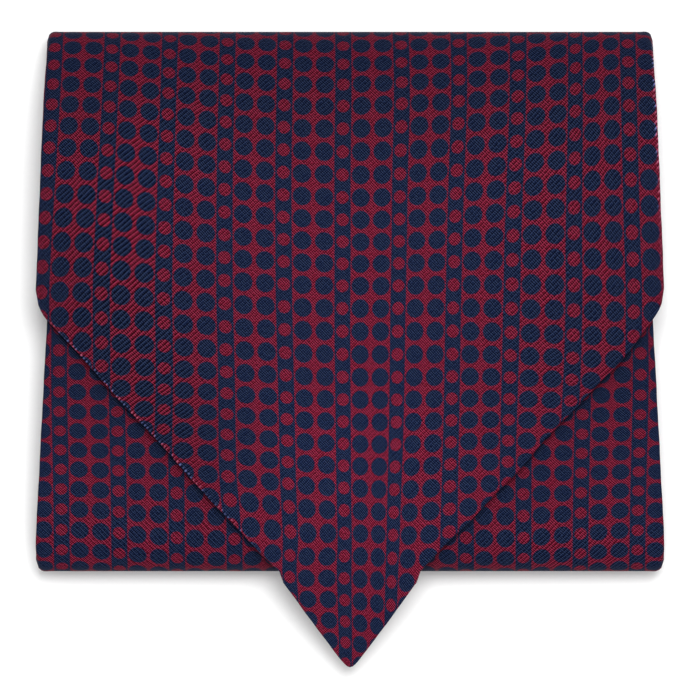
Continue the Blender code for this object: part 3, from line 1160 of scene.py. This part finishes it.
@dataclass
class FoldedLayers(ClothPiece):
    """The neckband and the second blade, folded to and fro inside the wrap as one strip."""

    columns: int = 58
    half: float = 74.0
    floor: float = 2.15
    top_search: float = 20.0
    top_limit: float = 71.5
    top_steps: int = 300
    top_gap: float = 0.15
    bottom_limit: float = -48.6
    bottom_stagger: float = 1.1
    edge_wander: float = 0.5
    edge_wander_length: float = 17.0
    edge_wander_shift: float = 1.7
    sag: float = 0.10
    sag_lengths: tuple[float, float] = (11.0, 13.0)
    sag_shift: float = 2.0
    print_shift: float = 3.1
    step: float = 2.2
    turn_rows: int = 14
    flat_width: float = 0.146
    flat_length: float = 0.585
    plies: tuple[Ply, ...] = (
        Ply(0.22, 0.8, 2.2),
        Ply(0.19, 2.6, 0.6),
        Ply(0.20, 1.2, 3.0),
        Ply(0.18, 3.2, 1.4),
        Ply(0.21, 0.4, 1.0),
    )

    def _middle(self, ply: int, y: Array) -> Array:
        """Height of the middle of a layer at y."""
        foot = sum(p.share for p in self.plies[:ply]) + self.plies[ply].share / 2
        return self.floor + foot * (self.form.core_level(y) - self.floor)

    def _top_end(self, ply: int) -> float:
        """How far towards the top fold a layer can run before the fold closes on it."""
        y = np.linspace(self.top_search, self.top_limit, self.top_steps)
        room = self.form.core_top(y) - self._middle(ply, y) - self.shell.wall / 2 - self.top_gap
        return float(y[room > 0][-1])

    def _bottom_end(self, ply: int) -> float:
        """How far towards the bottom fold a layer runs."""
        return self.bottom_limit + self.bottom_stagger * (ply // 2)

    def _line(self) -> tuple[Array, Array]:
        """The strip's middle line, as points of y and z, and the layer that each lies in."""
        last = len(self.plies) - 1
        radius = self.form.layer / 2
        points: list[tuple[float, float]] = []
        layer: list[float] = []
        for ply in range(last + 1):
            upward = ply % 2 == 0
            pair = (ply, ply + 1 if upward else ply - 1)
            top = min(self._top_end(p) for p in pair if p <= last)
            ends = (self._bottom_end(ply) + radius, top - radius)
            count = max(2, int((ends[1] - ends[0]) / self.step))
            y = np.linspace(*(ends if upward else ends[::-1]), count + 1)
            points += list(zip(y, self._middle(ply, y)))
            layer += [float(ply)] * len(y)
            if ply == last:
                break
            end_y, low = points[-1]
            high = float(self._middle(ply + 1, np.float64(end_y)))
            if not upward:
                end_y = min(end_y, self._bottom_end(ply + 1) + radius)
            outward = 1.0 if upward else -1.0
            for k in range(1, self.turn_rows):
                angle = math.pi * k / self.turn_rows
                bulge = (high - low) / 2 * math.sin(angle)
                fall = (high - low) / 2 * math.cos(angle)
                points.append((end_y + outward * bulge, (low + high) / 2 - fall))
                layer.append(ply + k / self.turn_rows)
        return np.array(points), np.array(layer)

    def surface(self) -> ClothSurface:
        """The strip in place, from its end on the table stretch up to the top layer."""
        points, layer = self._line()
        along = unit(np.gradient(points, axis=0))
        share = crowded(self.columns)
        order = np.arange(len(self.plies))
        left = np.interp(layer, order, [p.inset_left for p in self.plies])
        right = np.interp(layer, order, [p.inset_right for p in self.plies])
        phase = points[:, 0] / self.edge_wander_length + self.edge_wander_shift * layer
        wander = self.edge_wander * np.sin(phase)
        low = -(self.half - left + wander)[:, None]
        high = (self.half - right + wander)[:, None]
        x = low + (high - low) * (share + 1) / 2
        y = points[:, 0:1] + 0 * x
        rise = layer[:, None] / len(self.plies)
        z = points[:, 1:2] + self.form.loft(x, y) * rise
        sag_x = np.sin(x / self.sag_lengths[0] + self.sag_shift * layer[:, None])
        z = z + self.sag * sag_x * np.sin(y / self.sag_lengths[1])
        middle = np.stack((x, y, z), axis=2)
        normal = np.stack((0 * x, -along[:, 1:2] + 0 * x, along[:, 0:1] + 0 * x), axis=2)
        half_wall = self.shell.wall / 2
        run = path_length(points)[:, None] + 0 * x
        return ClothSurface(
            outer=middle + normal * half_wall,
            inner=middle - normal * half_wall,
            flat=np.stack((x, run), axis=2),
            weave=np.stack((x + self.print_shift, run), axis=2),
        )

    def build(self) -> bpy.types.Object:
        """Builds and dresses the strip."""
        piece = self.dress("folded_layers", Slot.LAYERS, self.surface())
        return piece


@dataclass(frozen=True)
class Lamp:
    """A soft square lamp that looks at the cravat."""

    name: str
    place: tuple[float, float, float]
    size: float
    power: float

    def build(self) -> None:
        """Hangs the lamp."""
        light = bpy.data.lights.new(self.name, "AREA")
        light.shape = "SQUARE"
        light.size = self.size
        light.energy = self.power
        lamp = bpy.data.objects.new(self.name, light)
        lamp.location = self.place
        lamp.rotation_euler = (-Vector(self.place)).to_track_quat("-Z", "Y").to_euler()
        bpy.context.scene.collection.objects.link(lamp)


@dataclass
class Studio:
    """White paper floor, soft light, and the camera straight above."""

    floor_side: float = 4.0
    room_light: float = 0.60
    lamps: tuple[Lamp, ...] = (
        Lamp("key", (0.13, 0.46, 1.45), 0.80, 22.5),
        Lamp("front_fill", (0.30, -1.30, 1.00), 1.20, 7.0),
    )
    camera_place: tuple[float, float, float] = (0.0, -0.00012, 2.017)
    lens: float = 416.4
    sensor: float = 36.0
    sight: float = 20.0

    def build(self) -> None:
        """Builds the stage, the lamps and the camera."""
        bpy.ops.object.select_all(action="DESELECT")
        bpy.ops.mesh.primitive_plane_add(size=self.floor_side)
        floor = bpy.context.active_object
        floor.name = "floor"
        floor.data.materials.append(FloorFinish().material())
        world = bpy.data.worlds.new("studio_room")
        world.use_nodes = True
        background = world.node_tree.nodes["Background"]
        background.inputs["Color"].default_value = (1.0, 1.0, 1.0, 1.0)
        background.inputs["Strength"].default_value = self.room_light
        bpy.context.scene.world = world
        for lamp in self.lamps:
            lamp.build()
        view = bpy.data.cameras.new("photo_view")
        view.sensor_width = self.sensor
        view.lens = self.lens
        view.clip_end = self.sight
        camera = bpy.data.objects.new("photo_view", view)
        camera.location = self.camera_place
        bpy.context.scene.collection.objects.link(camera)
        bpy.context.scene.camera = camera
        bpy.context.scene.view_settings.view_transform = "Standard"


@dataclass
class Cravat:
    """The whole folded cravat."""

    form: CravatForm = field(default_factory=CravatForm)
    shell: ClothShell = field(default_factory=ClothShell)
    inner_shell: ClothShell = field(
        default_factory=lambda: ClothShell(wall=1.4, wander=0.06, fullness=0.0)
    )

    def build(self) -> list[bpy.types.Object]:
        """Builds every piece of cloth, from the top down."""
        blade = FrontBlade(self.form, self.shell)
        under = UnderStretch(self.form, self.shell)
        table = TableStretch(self.form, self.shell)
        layers = FoldedLayers(self.form, self.inner_shell)
        return [
            blade.build(),
            under.build(),
            table.build(blade.surface(), under.surface()),
            layers.build(),
        ]


def main() -> None:
    """Builds the cravat and its studio, and reports each piece."""
    logging.basicConfig(level=logging.INFO, format="%(name)s: %(message)s")
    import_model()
    for piece in Cravat().build():
        log.info("%s has %d faces", piece.name, len(piece.data.polygons))
    Studio().build()


if __name__ == "__main__":
    main()
